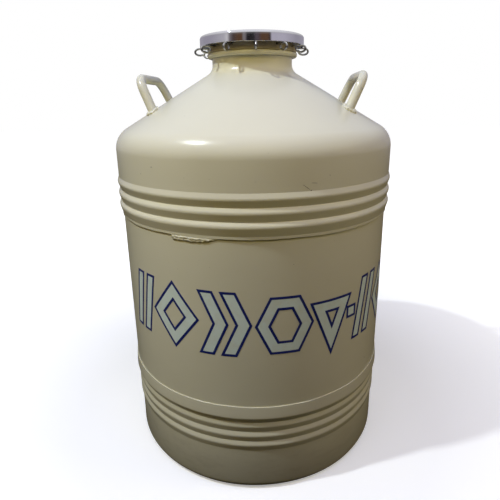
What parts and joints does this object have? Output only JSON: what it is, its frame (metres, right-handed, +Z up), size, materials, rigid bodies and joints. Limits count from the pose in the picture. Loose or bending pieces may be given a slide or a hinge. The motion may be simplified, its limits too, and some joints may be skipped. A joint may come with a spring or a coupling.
{
  "type": "liquid nitrogen dewar",
  "caption": "Cream enamelled liquid nitrogen storage flask with rolled ribs, coned top, bar handles, polished lid and foam plug over canisters hung by wire eyes round a notched neck.",
  "frame": {"origin": "centre of the foot ring, on the floor", "axes": "+Z up along the neck; the two lifting handles lie on -X and +X; the evacuation port is on the +Y side"},
  "size_m": [0.4712, 0.4712, 0.703],
  "materials": {
    "enamel": "gloss",
    "polished": "polished",
    "sheet_aluminium": "satin",
    "steel": "satin",
    "resin": "satin",
    "foam": "matte",
    "foil": "satin",
    "charcoal": "matte",
    "rubber": "matte"
  },
  "bodies": {
    "vessel": {"top_shell": "enamel", "body_band": "enamel", "base_shell": "enamel", "neck_flange": "enamel", "index_ring": "enamel", "neck_tube": "resin", "inner_vessel_top": "sheet_aluminium", "inner_vessel_bottom": "sheet_aluminium", "superinsulation_wrap": "foil", "getter_pack": "charcoal", "canister_spider": "sheet_aluminium", "lifting_handle_left": "enamel", "lifting_handle_right": "enamel", "evacuation_port": "enamel", "evacuation_plug": "rubber", "evacuation_cap": "rubber"},
    "lid": {"lid_cap": "polished", "lid_plate": "sheet_aluminium", "lid_foam": "foam", "neck_plug": "foam", "plug_end_disc": "sheet_aluminium", "plug_bolt": "steel", "plug_nut": "steel"},
    "canister_01": {"canister_cup_01": "steel", "canister_handle_01": "steel"},
    "canister_02": {"canister_cup_02": "steel", "canister_handle_02": "steel"},
    "canister_03": {"canister_cup_03": "steel", "canister_handle_03": "steel"},
    "canister_04": {"canister_cup_04": "steel", "canister_handle_04": "steel"},
    "canister_05": {"canister_cup_05": "steel", "canister_handle_05": "steel"},
    "canister_06": {"canister_cup_06": "steel", "canister_handle_06": "steel"},
    "canister_07": {"canister_cup_07": "steel", "canister_handle_07": "steel"},
    "canister_08": {"canister_cup_08": "steel", "canister_handle_08": "steel"},
    "canister_09": {"canister_cup_09": "steel", "canister_handle_09": "steel"},
    "canister_10": {"canister_cup_10": "steel", "canister_handle_10": "steel"},
    "canister_11": {"canister_cup_11": "steel", "canister_handle_11": "steel"},
    "canister_12": {"canister_cup_12": "steel", "canister_handle_12": "steel"}
  },
  "joints": [
    {"name": "lid_lift", "type": "slide", "parent": "vessel", "child": "lid", "axis": [0, 0, 1], "range_m": [0, 0.4]},
    {"name": "canister_01_lift", "type": "slide", "parent": "vessel", "child": "canister_01", "axis": [0, 0, 1], "range_m": [0, 0.235]},
    {"name": "canister_02_lift", "type": "slide", "parent": "vessel", "child": "canister_02", "axis": [0, 0, 1], "range_m": [0, 0.235]},
    {"name": "canister_03_lift", "type": "slide", "parent": "vessel", "child": "canister_03", "axis": [0, 0, 1], "range_m": [0, 0.235]},
    {"name": "canister_04_lift", "type": "slide", "parent": "vessel", "child": "canister_04", "axis": [0, 0, 1], "range_m": [0, 0.235]},
    {"name": "canister_05_lift", "type": "slide", "parent": "vessel", "child": "canister_05", "axis": [0, 0, 1], "range_m": [0, 0.235]},
    {"name": "canister_06_lift", "type": "slide", "parent": "vessel", "child": "canister_06", "axis": [0, 0, 1], "range_m": [0, 0.235]},
    {"name": "canister_07_lift", "type": "slide", "parent": "vessel", "child": "canister_07", "axis": [0, 0, 1], "range_m": [0, 0.235]},
    {"name": "canister_08_lift", "type": "slide", "parent": "vessel", "child": "canister_08", "axis": [0, 0, 1], "range_m": [0, 0.235]},
    {"name": "canister_09_lift", "type": "slide", "parent": "vessel", "child": "canister_09", "axis": [0, 0, 1], "range_m": [0, 0.235]},
    {"name": "canister_10_lift", "type": "slide", "parent": "vessel", "child": "canister_10", "axis": [0, 0, 1], "range_m": [0, 0.235]},
    {"name": "canister_11_lift", "type": "slide", "parent": "vessel", "child": "canister_11", "axis": [0, 0, 1], "range_m": [0, 0.235]},
    {"name": "canister_12_lift", "type": "slide", "parent": "vessel", "child": "canister_12", "axis": [0, 0, 1], "range_m": [0, 0.235]}
  ],
  "couplings": [
    {"joint": "canister_01_lift", "follows": "lid_lift", "ratio": 0.5875},
    {"joint": "canister_02_lift", "follows": "lid_lift", "ratio": 0.5875},
    {"joint": "canister_03_lift", "follows": "lid_lift", "ratio": 0.5875},
    {"joint": "canister_04_lift", "follows": "lid_lift", "ratio": 0.5875},
    {"joint": "canister_05_lift", "follows": "lid_lift", "ratio": 0.5875},
    {"joint": "canister_06_lift", "follows": "lid_lift", "ratio": 0.5875},
    {"joint": "canister_07_lift", "follows": "lid_lift", "ratio": 0.5875},
    {"joint": "canister_08_lift", "follows": "lid_lift", "ratio": 0.5875},
    {"joint": "canister_09_lift", "follows": "lid_lift", "ratio": 0.5875},
    {"joint": "canister_10_lift", "follows": "lid_lift", "ratio": 0.5875},
    {"joint": "canister_11_lift", "follows": "lid_lift", "ratio": 0.5875},
    {"joint": "canister_12_lift", "follows": "lid_lift", "ratio": 0.5875}
  ]
}
